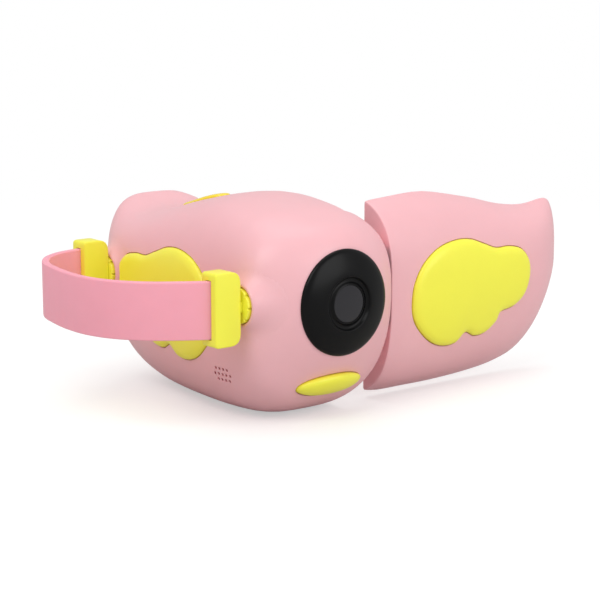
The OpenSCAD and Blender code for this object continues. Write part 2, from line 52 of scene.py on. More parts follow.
# ---------------------------------------------------------------- camera
cam = bpy.data.objects.new("camera", bpy.data.cameras.new("camera"))
scene.collection.objects.link(cam)
cam.data.sensor_width = 36
cam.data.lens = 107.9
cam.data.clip_start = 0.01
eye = Vector((-333.1, -435.4, 138.65)) * MM
right = Vector((0.7826, -0.6225, 0.0)).normalized()
back = Vector((-0.6111, -0.7682, 0.1908)).normalized()
up = back.cross(right)
cam.matrix_world = Matrix.Translation(eye) @ Matrix((right, up, back)).transposed().to_4x4()
scene.camera = cam

# ---------------------------------------------------------------- the bird shape
FRONT = -37.0
AXIS = 37.0
BOSS = 37.7
BOSS_B = ((12, "front"), (84, "rear"))
FINE = 240
ROCK_B, ROCK_Z = 68.5, 54.3
HX, HB = 23.8, 13.1
SIDE, RIM, FLAP = 13.4, 14.5, 16.0
NOSE_B, FULL_B, TAIL_B = -2.2, 26.3, 101.4
RING = 16 / (1 - (FULL_B / (FULL_B - NOSE_B)) ** 3) ** (1 / 3)
ST_B = [0, 10, 20, 40, 60, 74, 86, 98]
ST_W = [RING, 28.9, 27.8, 28.4, 27.8, 27.5, 27.3, 24]
ST_T = [RING, 25.3, 26.6, 28.6, 24.9, 21, 19.8, 23]
ST_U = [RING, 33.2, 36.2, 37.7, 38.1, 37.4, 35, 28.4]
SQ_B = [0, 10, 25, 50, 98]
SQ_T = [2, 2.7, 2.9, 2.55, 3.4]
SQ_U = [2, 2.8, 3.2, 2.75, 1.9]


def curve(xs, vs, x):
    """Smooth curve through the values vs at xs."""
    xs, vs = np.array(xs, float), np.array(vs, float)
    x = np.clip(np.asarray(x, float), xs[0], xs[-1])
    i = np.clip(np.searchsorted(xs, x, side="right") - 1, 0, len(xs) - 2)
    m = np.zeros(len(xs))
    m[1:-1] = (vs[2:] - vs[:-2]) / (xs[2:] - xs[:-2])
    m[-1] = (vs[-1] - vs[-2]) / (xs[-1] - xs[-2])
    h = xs[i + 1] - xs[i]
    t = (x - xs[i]) / h
    return (
        (2 * t**3 - 3 * t**2 + 1) * vs[i]
        + (t**3 - 2 * t**2 + t) * h * m[i]
        + (3 * t**2 - 2 * t**3) * vs[i + 1]
        + (t**3 - t**2) * h * m[i + 1]
    )


def nose(b):
    """How far the nose has opened at b, from 0 to 1."""
    u = np.clip((FULL_B - np.asarray(b, float)) / (FULL_B - NOSE_B), 0, 1)
    return (1 - u**3) ** (1 / 3)


def shut(b, a, p, q):
    """How far the tail is still open at b, from 1 at a to 0 at the end."""
    u = np.clip((np.asarray(b, float) - a) / (TAIL_B - a), 0, 1)
    return np.maximum(0, 1 - u**p) ** (1 / q)


def half_w(b):
    """Half width of the section at b."""
    return curve(ST_B, ST_W, b) * nose(b) * shut(b, 45, 4.4, 5)


def half_t(b):
    """Height of the section over the axis at b."""
    return curve(ST_B, ST_T, b) * nose(b) * shut(b, 45, 44, 10)


def half_u(b):
    """Depth of the section under the axis at b."""
    return curve(ST_B, ST_U, b) * nose(b) * shut(b, 61.5, 5.4, 1.75)


def power(b, z):
    """Exponent of the section at b, over or under the axis."""
    return np.where(np.asarray(z) > AXIS, curve(SQ_B, SQ_T, b), curve(SQ_B, SQ_U, b))


def half_h(b, z):
    """Height or depth of the section, whichever side of the axis z is on."""
    return np.where(np.asarray(z) > AXIS, half_t(b), half_u(b))


def side_x(b, z):
    """Half width of the skin at b and z."""
    n = power(b, z)
    return half_w(b) * np.maximum(1e-6, 1 - (np.abs(z - AXIS) / half_h(b, z)) ** n) ** (1 / n)


def top_z(b, x):
    """Height of the skin at b and x."""
    n = curve(SQ_B, SQ_T, b)
    return AXIS + half_t(b) * np.maximum(1e-6, 1 - (np.abs(x) / half_w(b)) ** n) ** (1 / n)


def front_b(x, z):
    """b of the skin seen from the front at x and z, by bisection."""
    lo, hi = np.full(np.shape(x), NOSE_B + 0.01), np.full(np.shape(x), FULL_B)
    for _ in range(30):
        m = (lo + hi) / 2
        n = power(m, z)
        ins = (np.abs(x) / half_w(m)) ** n + (np.abs(z - AXIS) / half_h(m, z)) ** n < 1
        lo, hi = np.where(ins, lo, m), np.where(ins, m, hi)
    return (lo + hi) / 2


def even(p, n):
    """n points at equal steps along the polyline p."""
    d = np.concatenate([[0], np.cumsum(np.linalg.norm(np.diff(p, axis=0), axis=1))])
    s = np.linspace(0, d[-1], n)
    return np.stack([np.interp(s, d, p[:, i]) for i in range(p.shape[1])], 1)


def section(b, k, x0, n, m, r):
    """One section of the skin at b, k inside it, open or cut at x0, with the cut's edges rounded by r."""
    w, ht, hu = float(half_w(b)) - k, float(half_t(b)) - k, float(half_u(b)) - k
    nt, nu = float(curve(SQ_B, SQ_T, b)), float(curve(SQ_B, SQ_U, b))

    def quarter(h, e, xc):
        a1 = math.acos(min(1.0, max(0.0, (xc / w)) ** (e / 2)))
        share = np.linspace(0, 1, FINE)
        a = a1 * (1 - (1 - share) ** 1.5) if xc > 0 else np.linspace(0, math.pi / 2, FINE)
        return np.stack([w * np.cos(a).clip(0) ** (2 / e), h * np.sin(a).clip(0) ** (2 / e)], 1)

    if x0 is None:
        q = n // 4
        t = even(quarter(ht, nt, 0), q + 1)
        u = even(quarter(hu, nu, 0), q + 1)
        ring = np.concatenate([t, (t * [-1, 1])[::-1][1:], (u * [-1, -1])[1:], (u * [1, -1])[::-1][1:-1]])
        return np.stack([ring[:, 0], np.full(len(ring), b), AXIS + ring[:, 1]], 1)
    t = even(quarter(ht, nt, x0 + r), n + 1)[::-1]
    u = even(quarter(hu, nu, x0 + r), n + 1)

    def corner(h, e, p0):
        if r <= 0:
            return np.zeros((0, 2))
        zc = h * (1 - (x0 / w) ** e) ** (1 / e)
        s = np.linspace(1, 0, m + 1)[:-1, None]
        return s**2 * np.array([x0, zc - r]) + 2 * s * (1 - s) * np.array([x0, zc]) + (1 - s) ** 2 * p0

    ct, cu = corner(ht, nt, t[0]), corner(hu, nu, u[-1])
    arc = np.concatenate([ct, t, (u * [1, -1])[1:], (cu * [1, -1])[::-1]])
    return np.stack([arc[:, 0], np.full(len(arc), b), AXIS + arc[:, 1]], 1)


def grid_faces(rows, cols, close):
    """Quads between the rows of a grid of points."""
    f = []
    for i in range(rows - 1):
        for j in range(cols if close else cols - 1):
            a, c = i * cols + j, i * cols + (j + 1) % cols
            f.append((a, c, c + cols, a + cols))
    return f


def to_world(v, flap):
    """Part millimetres to metres in the frame; flap parts are turned open about the hinge."""
    v = np.asarray(v, float)
    if flap:
        v = np.stack([HX + v[:, 1] - HB, HB - v[:, 0] + HX, v[:, 2]], 1)
    return (v + [0, FRONT, 0]) * MM


def obj_of(name, verts, faces, flap=False):
    me = bpy.data.meshes.new(name)
    me.from_pydata([tuple(p) for p in to_world(verts, flap)], [], [tuple(f) for f in faces])
    bm = bmesh.new()
    bm.from_mesh(me)
    bmesh.ops.remove_doubles(bm, verts=bm.verts, dist=2e-7)
    bmesh.ops.dissolve_degenerate(bm, edges=bm.edges, dist=1e-7)
    bmesh.ops.recalc_face_normals(bm, faces=bm.faces)
    bm.to_mesh(me)
    bm.free()
    o = bpy.data.objects.new(name, me)
    scene.collection.objects.link(o)
    return o


def boolean(o, tools, op="DIFFERENCE"):
    """Apply the tools to o one by one and delete them."""
    for t in tools:
        mod = o.modifiers.new("cut", "BOOLEAN")
        mod.operation, mod.object, mod.solver = op, t, "EXACT"
        bpy.context.view_layer.update()
        me = bpy.data.meshes.new_from_object(o.evaluated_get(bpy.context.evaluated_depsgraph_get()))
        o.modifiers.clear()
        if not me.polygons:
            raise RuntimeError(f"{o.name} is empty after {t.name}")
        o.data = me
    for t in tools:
        bpy.data.objects.remove(t)
    return o


def done(o, body, mat, nodes=(), sharp=35):
    """Shade, finish and attach a piece, in place of the CAD nodes it stands for."""
    for p in o.data.polygons:
        p.use_smooth = True
    o.data.set_sharp_from_angle(angle=math.radians(sharp))
    o.data.materials.clear()
    o.data.materials.append(mat)
    if body:
        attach(o, body)
    if nodes:
        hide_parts(*nodes)
    return o


# ---------------------------------------------------------------- small solids
def rounded(pts, r, n=5):
    """A closed outline with the corner at each point rounded by r."""
    pts = [np.array(p, float) for p in pts]
    rs = r if isinstance(r, (list, tuple)) else [r] * len(pts)
    out = []
    for i, p in enumerate(pts):
        if rs[i] == 0:
            out.append(p)
            continue
        a, c = pts[i - 1], pts[(i + 1) % len(pts)]
        p0 = p + (a - p) * min(rs[i] / np.linalg.norm(a - p), 0.48)
        p2 = p + (c - p) * min(rs[i] / np.linalg.norm(c - p), 0.48)
        for t in np.linspace(0, 1, n):
            out.append((1 - t) ** 2 * p0 + 2 * t * (1 - t) * p + t**2 * p2)
    return out


def lathe(name, profile, origin, axis, n=96, flap=False):
    """profile holds (radius, distance along the axis) points of a closed loop."""
    o, d = np.array(origin, float), np.array(axis, float)
    e1 = np.array([0, 0, 1.0]) if abs(d[2]) < 0.5 else np.array([1.0, 0, 0])
    e2 = np.cross(d, e1)
    v = []
    for r, t in profile:
        for j in range(n):
            a = 2 * math.pi * j / n
            v.append(o + d * t + (e1 * math.cos(a) + e2 * math.sin(a)) * max(r, 0))
    m = len(profile)
    f = [
        (i * n + j, i * n + (j + 1) % n, (i + 1) % m * n + (j + 1) % n, (i + 1) % m * n + j)
        for i in range(m)
        for j in range(n)
        if not (profile[i][0] <= 0 and profile[(i + 1) % m][0] <= 0)
    ]
    return obj_of(name, v, f, flap)


def box(name, x0, x1, b0, b1, z0, z1, flap=False, bevel=0.0, seg=3):
    v = [(x, b, z) for x in (x0, x1) for b in (b0, b1) for z in (z0, z1)]
    f = [(0, 1, 3, 2), (4, 6, 7, 5), (0, 4, 5, 1), (2, 3, 7, 6), (0, 2, 6, 4), (1, 5, 7, 3)]
    o = obj_of(name, v, f, flap)
    return soften(o, bevel, seg) if bevel else o


def soften(o, width, seg=3):
    """Bevel the sharp edges of o."""
    bm = bmesh.new()
    bm.from_mesh(o.data)
    edges = [e for e in bm.edges if len(e.link_faces) == 2 and e.calc_face_angle() > math.radians(25)]
    bmesh.ops.bevel(bm, geom=edges, offset=width * MM, segments=seg, profile=0.5, affect="EDGES")
    bm.to_mesh(o.data)
    bm.free()
    return o


def prism(name, outline, lo, hi, axis, flap=False):
    """outline is in the two other axes, in x, b, z order."""
    v = []
    for t in (lo, hi):
        for p in outline:
            q = list(p)
            q.insert(axis, t)
            v.append(q)
    n = len(outline)
    f = [tuple(range(n)), tuple(range(2 * n - 1, n - 1, -1))]
    f += [(j, (j + 1) % n, n + (j + 1) % n, n + j) for j in range(n)]
    return obj_of(name, v, f, flap)


def rod(name, axis, x, b, z, r, length, n=48, flap=False):
    d = [0, 0, 0]
    d[axis] = 1
    return lathe(name, [(0, 0), (r, 0), (r, length), (0, length)], (x, b, z), d, n, flap)


# ---------------------------------------------------------------- pads that follow the skin
WING = [
    (25, 31), (26, 37), (29.5, 42.8), (35.5, 47), (43, 48.8), (50, 48.6), (56, 46.6), (61.5, 44.7),
    (67.5, 44.6), (73, 43.2), (76.6, 39.2), (77.2, 33.8), (75.2, 28), (70.5, 24.6), (64.3, 23.3),
    (62.6, 20.2), (58.4, 17.2), (53.4, 16.7), (48.6, 18.6), (44.6, 15.6), (39, 15.4), (33.6, 17.4),
    (28.6, 21.6), (25.7, 26),
]


def spline(pts, step, closed=True):
    """Points of a smooth curve through pts."""
    p = np.array(pts, float)
    n = len(p)
    out = []
    for i in range(n if closed else n - 1):
        if closed:
            a, b, c, d = p[i - 1], p[i], p[(i + 1) % n], p[(i + 2) % n]
        else:
            b, c = p[i], p[i + 1]
            a, d = p[max(i - 1, 0)], p[min(i + 2, n - 1)]
        for t in np.arange(step) / step:
            quad, cube = 2 * a - 5 * b + 4 * c - d, 3 * b - a - 3 * c + d
            out.append(0.5 * (2 * b + (c - a) * t + quad * t**2 + cube * t**3))
    if not closed:
        out.append(p[-1])
    return np.array(out)


def offset(loop, d):
    """The loop moved outward by d."""
    t = np.roll(loop, -1, 0) - np.roll(loop, 1, 0)
    t /= np.linalg.norm(t, axis=1)[:, None]
    nrm = np.stack([t[:, 1], -t[:, 0]], 1)
    area = 0.5 * np.sum(loop[:, 0] * np.roll(loop[:, 1], -1) - np.roll(loop[:, 0], -1) * loop[:, 1])
    return loop + nrm * d * (1 if area > 0 else -1)


def on_skin(kind, p, d):
    """Points of the skin at p, raised by d; kind is side, top or front."""
    if kind == "side":
        return np.stack([side_x(p[:, 0], p[:, 1]) + d, p[:, 0], p[:, 1]], 1)
    if kind == "top":
        return np.stack([p[:, 1], p[:, 0], top_z(p[:, 0], p[:, 1]) + d], 1)
    return np.stack([p[:, 0], front_b(p[:, 0], p[:, 1]) - d, p[:, 1]], 1)


def pad(name, kind, loop, centre, foot, edge, crown, round_mm, mirror=False, flap=False, dome=0):
    """A pad on the skin: wall from foot to edge height, rounded over round_mm or domed to the crown."""
    c = np.array(centre, float)
    rings = [(loop, foot)]
    if dome:
        for t in np.linspace(0, 1, 16)[:-1]:
            q = math.cos(t * math.pi / 2)
            rings.append((c + (loop - c) * q, edge + (crown - edge) * (1 - q**dome) ** 0.5))
        rings.append((c + (loop - c) * 0.03, crown))
    elif round_mm > 0:
        for t in np.linspace(0, 1, 9):
            a = t * math.pi / 2
            inner = offset(loop, -round_mm * (1 - math.cos(a)))
            rings.append((inner, edge + (crown * 0.82 - edge) * math.sin(a)))
        base = rings[-1][0]
        for s in (0.93, 0.85, 0.74, 0.6, 0.44, 0.28, 0.12):
            rings.append((c + (base - c) * s, crown * (0.82 + 0.18 * (1 - s * s))))
    else:
        for s in (1, 0.8, 0.6, 0.4, 0.2):
            rings.append((c + (loop - c) * s, crown))
    n = len(loop)
    v = [on_skin(kind, q, h) for q, h in rings] + [on_skin(kind, c[None], rings[-1][1])]
    low = [on_skin(kind, c + (loop - c) * s, foot) for s in (0.8, 0.6, 0.4, 0.2)]
    v = np.concatenate(v + low + [on_skin(kind, c[None], foot)])
    m = len(rings)
    f = grid_faces(m, n, True) + [((m - 1) * n + j, (m - 1) * n + (j + 1) % n, m * n) for j in range(n)]
    o = m * n + 1
    f += [tuple(o + i for i in q) for q in grid_faces(4, n, True)]
    f += [(j, (j + 1) % n, o + (j + 1) % n, o + j) for j in range(n)]
    f += [(o + 3 * n + j, o + 3 * n + (j + 1) % n, o + 4 * n) for j in range(n)]
    if mirror:
        v = v * [-1, 1, 1]
    return obj_of(name, v, f, flap)


# ---------------------------------------------------------------- materials
def lin(r, g, b):
    def one(c):
        c /= 255
        return c / 12.92 if c <= 0.04045 else ((c + 0.055) / 1.055) ** 2.4

    return one(r), one(g), one(b), 1.0


def scaled(c, k):
    return tuple(min(1.0, x * k) for x in c[:3]) + (1.0,)


def material(name, color, rough, var=0.04, grain=0.35, size=0.35, coat=0.0, sss=0.0, metal=0.0, trans=0.0,
             alpha=1.0, ior=1.5, patch=6.0, tint=None):
    """Moulded plastic, rubber, metal or glass: colour mottle, uneven gloss and a grain of size mm."""
    m = bpy.data.materials.new(name)
    m.use_nodes = True
    nt = m.node_tree
    p = nt.nodes["Principled BSDF"]
    new, link = nt.nodes.new, nt.links.new
    co = new("ShaderNodeTexCoord")

    def noise(scale, detail=3.0, rgh=0.5):
        t = new("ShaderNodeTexNoise")
        t.inputs["Scale"].default_value = scale
        t.inputs["Detail"].default_value = detail
        t.inputs["Roughness"].default_value = rgh
        link(co.outputs["Object"], t.inputs["Vector"])
        return t.outputs["Fac"]

    mix = new("ShaderNodeMix")
    mix.data_type = "RGBA"
    mix.inputs[6].default_value = scaled(color, 1 - var)
    mix.inputs[7].default_value = scaled(tint or color, 1 + var)
    link(noise(1000 / patch), mix.inputs[0])
    link(mix.outputs[2], p.inputs["Base Color"])
    rng = new("ShaderNodeMapRange")
    rng.inputs["To Min"].default_value = max(0.02, rough * 0.86)
    rng.inputs["To Max"].default_value = min(1.0, rough * 1.16)
    link(noise(1000 / (patch * 0.5), 4.0), rng.inputs["Value"])
    link(rng.outputs["Result"], p.inputs["Roughness"])
    if grain > 0:
        bump = new("ShaderNodeBump")
        bump.inputs["Strength"].default_value = grain
        bump.inputs["Distance"].default_value = 0.00004
        link(noise(1000 / size, 2.0, 0.6), bump.inputs["Height"])
        link(bump.outputs["Normal"], p.inputs["Normal"])
    p.inputs["Metallic"].default_value = metal
    p.inputs["IOR"].default_value = ior
    p.inputs["Coat Weight"].default_value = coat
    p.inputs["Coat Roughness"].default_value = 0.18
    p.inputs["Transmission Weight"].default_value = trans
    p.inputs["Alpha"].default_value = alpha
    if sss:
        p.inputs["Subsurface Weight"].default_value = sss
        p.inputs["Subsurface Radius"].default_value = (1.0, 0.5, 0.4)
        p.inputs["Subsurface Scale"].default_value = 0.0015
    return m


PINK = material("pink_shell", lin(242, 184, 190), 0.42, var=0.02, grain=0.25, size=0.3, coat=0.12, sss=0.06)
PANEL = material("panel_pink", lin(247, 190, 196), 0.46, var=0.02, grain=0.3, size=0.35)
# Dark maroon that paints the shade inside the speaker grille holes
PAINTED_HOLE_SHADE = material("grille_hole_painted_shade", lin(160, 66, 76), 0.6, var=0.1, grain=0.3, size=0.3)
YELLOW = material("yellow_trim", lin(250, 246, 70), 0.4, var=0.02, grain=0.25, size=0.3, coat=0.12, sss=0.05)
BUTTON = material("yellow_button", lin(250, 222, 40), 0.25, var=0.02, grain=0.1, size=0.4, coat=0.4)
STRAP = material("strap_rubber", lin(250, 168, 184), 0.5, var=0.03, grain=0.3, size=0.25, sss=0.15)
BLACK = material("black_gloss", lin(4, 4, 5), 0.3, var=0.1, grain=0.08, size=0.5, coat=0.06, ior=1.24)
DULL = material("black_plastic", lin(24, 24, 26), 0.5, var=0.1, grain=0.4, size=0.3)
SMOKED = material("smoked_glass", lin(26, 24, 30), 0.12, var=0.1, grain=0.0, coat=0.2, ior=1.45)
CLEAR = material("clear_glass", lin(225, 232, 240), 0.03, var=0.01, grain=0.0, trans=0.95, ior=1.52)
SCREEN = material("screen_glass", lin(10, 11, 14), 0.05, var=0.2, grain=0.0, coat=0.8, ior=1.5)
WHITE = material("white_plastic", lin(225, 225, 224), 0.5, var=0.03)
GREY = material("hinge_grey", lin(112, 108, 114), 0.45, var=0.05)
STEEL = material("steel", lin(176, 176, 180), 0.3, var=0.08, grain=0.5, size=0.12, metal=1.0)
BOARD = material("board_green", lin(20, 92, 52), 0.45, var=0.15, grain=0.4, size=0.8)
FOIL = material("foil", lin(192, 194, 200), 0.35, var=0.06, grain=0.6, size=1.2, metal=0.7)
LCD = material("screen_module", lin(38, 38, 42), 0.4, var=0.1)

KEEP = {
    "side_panel": PANEL, "flap_frame": PANEL, "panel_screws": STEEL, "flap_screws": STEEL, "hinge_pin": STEEL,
    "rocker_pin": STEEL, "front_strap_pin": STEEL, "rear_strap_pin": STEEL, "usb_socket": STEEL,
    "card_socket": STEEL, "hinge_arm": GREY, "hinge_bracket": GREY, "front_clip_retainer": WHITE,
    "rear_clip_retainer": WHITE, "top_carrier": WHITE, "record_guide": WHITE, "battery": FOIL,
    "lcd_module": LCD, "main_board": BOARD, "top_board": BOARD, "record_board": BOARD, "sensor_board": BOARD,
    "image_sensor": DULL, "speaker": DULL, "top_switches": DULL, "panel_switches": DULL, "record_switch": DULL,
    "lens_barrel": DULL, "front_lens": CLEAR, "rear_lens": CLEAR, "screen_window": SCREEN,
}
for node, mat in KEEP.items():
    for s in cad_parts[node].material_slots:
        s.material = mat

# ---------------------------------------------------------------- body and flap shells
N_NOSE, N_REAR, N_ROUND = 20, 40, 96


def stations(b0, b1):
    """Values of b from b0 to b1, closer together at both ends."""
    a0 = math.acos(1 - (b0 - NOSE_B) / (FULL_B - NOSE_B)) if b0 < FULL_B else math.pi / 2
    head = [NOSE_B + (FULL_B - NOSE_B) * (1 - math.cos(a)) for a in np.linspace(a0, math.pi / 2, N_NOSE)]
    tail = [FULL_B + (b1 - FULL_B) * (1 - (1 - u) ** 2.6) for u in np.linspace(0, 1, N_REAR)]
    return head[:-1] + tail


def whole(name, k, b0, rear=0.0):
    """The whole skin from b0, k inside it, and shorter by rear at the tail."""
    bs = stations(b0, TAIL_B - 0.0004)
    rows = [section(b, k, None, N_ROUND, 0, 0) for b in bs]
    for r, b in zip(rows, bs):
        r[:, 1] = NOSE_B + k + (b - NOSE_B) * (TAIL_B - NOSE_B - 2 * k - rear) / (TAIL_B - NOSE_B)
    n = len(rows[0])
    v = np.concatenate(rows)
    f = grid_faces(len(rows), n, True) + [tuple(range(n)), tuple(range((len(rows) - 1) * n, len(rows) * n))]
    return obj_of(name, v, f)


def half(name, k, x0, b0, r, flap):
    """The skin beyond the plane x0 and behind the plane b0, closed flat, with edges rounded by r."""
    lo, hi = 80.0, TAIL_B - 1e-4
    for _ in range(50):
        mid = (lo + hi) / 2
        lo, hi = (mid, hi) if half_w(mid) - k > x0 + r + 0.12 else (lo, mid)
    bs = stations(b0 + r, lo)
    n, m = N_ROUND // 4, 6
    rows = [section(b, k, x0, n, m, r) for b in bs]
    if r > 0:
        sa, sb, sc = section(b0 + 1e-6, k + r, x0, n, m, r), section(b0 + 1e-6, k, x0, n, m, r), rows[0]
        for t in np.linspace(1, 0, 7)[1:]:
            rows.insert(0, (1 - t) ** 2 * sa + 2 * t * (1 - t) * sb + t**2 * sc)
    c = len(rows[0])
    v = np.concatenate(rows)
    f = grid_faces(len(rows), c, True) + [tuple(range(c)), tuple(range((len(rows) - 1) * c, len(rows) * c))]
    return obj_of(name, v, f, flap)


wing_loop = spline(WING, 8)
right_loop = wing_loop + [2.2, 0.8]
beak_turns = np.linspace(0, 2 * math.pi, 97)[:-1]
beak_loop = np.array([(11.9 * math.cos(t), 11.3 + 3.5 * math.sin(t)) for t in beak_turns])


def oval(b, rb, rx, n=96):
    return [(rx * math.sin(t), b + rb * math.cos(t)) for t in np.linspace(0, 2 * math.pi, n + 1)[:-1]]


body = whole("body_shell_visual", 0, 0.0)
corner = [(26.5, 7), (60, 7), (60, 18), (23.8, 18)]
corner += [(HX + 2.7 * math.sin(a), HB + 2.7 * math.cos(a)) for a in np.linspace(0, math.pi / 2, 14)]
cutters = [
    whole("t_in", 2.35, 0.6, 3.5),
    box("t_side", SIDE, 60, FLAP - 0.2, 120, -8, 90),
    prism("t_corner", corner, -6, 93, 2),
    box("t_hinge", 18.5, 30, 9.2, 17, AXIS - 12, AXIS + 12, bevel=0.3),
    box("t_floor", -60, 60, -10, 130, -9, 0),
    rod("t_lens", 1, 0, -3, AXIS, 11.5, 9, 96),
    prism("t_top", oval(ROCK_B, 11.4, 5.6), 45, 75, 2),
    rod("t_record", 1, 0, 94, 44, 6.2, 12, 64),
    pad("t_wing", "side", offset(right_loop, 0.3), (52.2, 33.8), -0.8, 2, 2, 0, mirror=True),
    pad("t_beak", "front", offset(beak_loop, 0.28), (0, 11.3), -0.8, 2, 2, 0),
]
for b, _ in BOSS_B:
    cutters.append(rod(f"t_boss{b}", 0, -40, b, BOSS, 7.5, 21.6, 64))
holes = [
    (25 + 1.75 * (i - (2 if row == 1 else 1.5)), 16.2 - 1.75 * row)
    for row in range(3)
    for i in range(5 if row == 1 else 4)
]
for b, z in holes:
    cutters.append(rod("t_hole", 0, -34, b, z, 0.5, 12, 16))
boolean(body, cutters)
done(body, "camera", PINK, ["body_shell"], 30)
# Dark plugs sunk just under the skin in each grille hole: painted shade in the holes
shade_plugs = [rod("grille_painted_shade", 0, 0.4 - float(side_x(b, z)), b, z, 0.53, 1, 16) for b, z in holes]
done(boolean(shade_plugs[0], shade_plugs[1:], "UNION"), "camera", PAINTED_HOLE_SHADE, [], 40)


def widen(o):
    """The flap's front end stands a little taller than the body's section there."""
    for p in o.data.vertices:
        b = p.co.x / MM - HX + HB
        p.co.z += (p.co.z - AXIS * MM) * 0.05 * max(0, (36 - b) / 20) ** 2
    return o


flap = widen(half("flap_shell_visual", 0, RIM, FLAP + 0.5, 0.45, True))
boolean(flap, [
    widen(half("t_fin", 1.8, RIM - 0.6, FLAP + 2.3, 0, True)),
    box("t_arm", 22.3, 25.3, 15, 18.2, AXIS - 7.3, AXIS + 7.3, flap=True),
    pad("t_wing", "side", offset(wing_loop, 0.3), (50, 33), -0.8, 2, 2, 0, flap=True),
])
done(flap, "flap", PINK, ["flap_shell"], 30)

# ---------------------------------------------------------------- yellow pads, beak and top
o = pad("right_wing_visual", "side", right_loop, (52.2, 33.8), -0.75, 0.1, 1.75, 3.0, mirror=True)
boolean(o, [rod("t_gap", 0, -40, 84, BOSS, 7.6, 20, 64)])
done(o, "camera", YELLOW, ["right_wing_pad"])
o = pad("flap_wing_visual", "side", wing_loop, (50, 33), -0.75, 0.1, 1.75, 3.0, flap=True)
done(o, "flap", YELLOW, ["flap_wing_pad"])
o = pad("beak_visual", "front", beak_loop, (0, 11.3), -0.75, 0.5, 3.2, 0, dome=2.2)
done(o, "camera", YELLOW, ["beak"])
rocker = pad("zoom_rocker_visual", "top", np.array([(b, x) for x, b in oval(ROCK_B, 11, 5.2)]), (ROCK_B, 0),
             -2.6, 0.2, 1.4, 0, dome=6)
boolean(rocker, [
    box("t_web", -3.7, 3.7, ROCK_B - 2, ROCK_B + 2, ROCK_Z, ROCK_Z + 3.6),
    rod("t_hub", 0, -3.7, ROCK_B, ROCK_Z, 2.4, 7.4),
    box("t_leg1", -2.5, 2.5, ROCK_B - 6.7, ROCK_B - 5.3, 49.5, 60),
    box("t_leg2", -2.5, 2.5, ROCK_B + 5.3, ROCK_B + 6.7, 49.5, 56.5),
], "UNION")
boolean(rocker, [rod("t_bore", 0, -9, ROCK_B, ROCK_Z, 1, 18)])
done(rocker, "zoom", BUTTON, ["zoom_rocker"], 40)

# ---------------------------------------------------------------- lens
ring = rounded(
    [(16, 0), (16, 0.6), (15.3, 1.3), (14, 1.9), (12, 2.5), (10, 2.95), (8.5, 3.15), (8.05, 3.1), (7.75, 2.45),
     (7.2, 2.05), (6.5, 2.2), (6.05, 2.7), (5.6, 2.85), (5.6, 0.4), (4.8, 0.4), (4.8, 0), (10.1, 0),
     (10.1, -3.5), (11.4, -3.5), (11.4, 0)],
    [0, 0.4, 0.8, 1, 1.2, 1.2, 0.5, 0.2, 0.25, 0.4, 0.4, 0.25, 0.1, 0, 0, 0, 0, 0, 0, 0],
)
done(lathe("lens_bezel_visual", ring, (0, 0, AXIS), (0, -1, 0), 128), "camera", BLACK, ["lens_bezel"],
     50)
dome = [(0, 0.45), (5.5, 0.45), (5.5, 2.65)]
dome += [(r, 2.65 + 0.25 * (1 - (r / 5.5) ** 2)) for r in (5.2, 4.6, 3.8, 2.9, 2, 1, 0)]
done(lathe("lens_window_visual", dome, (0, 0, AXIS), (0, -1, 0), 96), "camera", SMOKED, ["lens_window"],
     50)

# ---------------------------------------------------------------- strap, clips and collars
PATH = [
    (-33.4, 12), (-36.6, 12), (-40, 12.3), (-46.5, 16.2), (-54, 21.8), (-60.2, 29.8), (-63.3, 39), (-63.6, 49),
    (-62.2, 59), (-59.8, 68.2), (-54.6, 76.4), (-47.4, 81.6), (-40, 83.7), (-36.6, 84), (-33.4, 84),
]
line = spline(PATH, 12, closed=False)
tan = np.gradient(line, axis=0)
tan /= np.linalg.norm(tan, axis=1)[:, None]
side = np.stack([-tan[:, 1], tan[:, 0]], 1)
rim = rounded([(-1.15, -8.5), (1.15, -8.5), (1.15, 8.5), (-1.15, 8.5)], 0.55, 5)
mid = int(np.argmin(np.abs(line[:, 1] - 49)))


def band(name, i0, i1):
    """The strap between two points of its centre line."""
    v = [
        (line[i, 0] + side[i, 0] * s, line[i, 1] + side[i, 1] * s, BOSS + z)
        for i in range(i0, i1 + 1)
        for s, z in rim
    ]
    n, m = len(rim), i1 - i0 + 1
    f = grid_faces(m, n, True) + [tuple(range(n)), tuple(range((m - 1) * n, m * n))]
    return obj_of(name, v, f)


def at(x, b, z=BOSS):
    """A point of the part as a point of the frame."""
    return tuple(float(c) for c in to_world([(x, b, z)], False)[0])


front_band = done(band("strap_front_visual", 0, mid), None, STRAP, ["strap"], 60)
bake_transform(front_band)
rear_band = done(band("strap_rear_visual", mid, len(line) - 1), None, STRAP, [], 60)
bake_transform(rear_band)

def collar(name, b0, n=96):
    """Bell that rises from the skin to a thin lip round a clip's disc."""
    inner = [
        (3.1, 24), (3.1, 27.5), (5.4, 27.5), (5.4, 28.5),
        (5.55, 28.8), (5.85, 28.95), (6.2, 28.9), (6.5, 28.6),
    ]
    rows = []
    for j in range(n):
        u = np.array([math.cos(2 * math.pi * j / n), math.sin(2 * math.pi * j / n)])

        def skin(r):
            return float(side_x(b0 + r * u[0], BOSS + r * u[1]))

        rise = 28.6 - skin(6.5)
        prof = list(inner)
        for r in (6.7, 7, 7.4, 7.9, 8.5, 9.2, 10, 11):
            prof.append((r, skin(r) - 0.04 + (rise + 0.04) * ((11 - r) / 4.5) ** 2.7))
        prof += [(11, skin(11) - 0.7), (9.2, skin(9.2) - 0.8), (7.4, 24)]
        rows.append([(-x, b0 + r * u[0], BOSS + r * u[1]) for r, x in prof])
    m = len(rows[0])
    v = [p for row in rows for p in row]
    f = [
        (i * m + k, i * m + (k + 1) % m, (i + 1) % n * m + (k + 1) % m, (i + 1) % n * m + k)
        for i in range(n)
        for k in range(m)
    ]
    return obj_of(name, v, f)


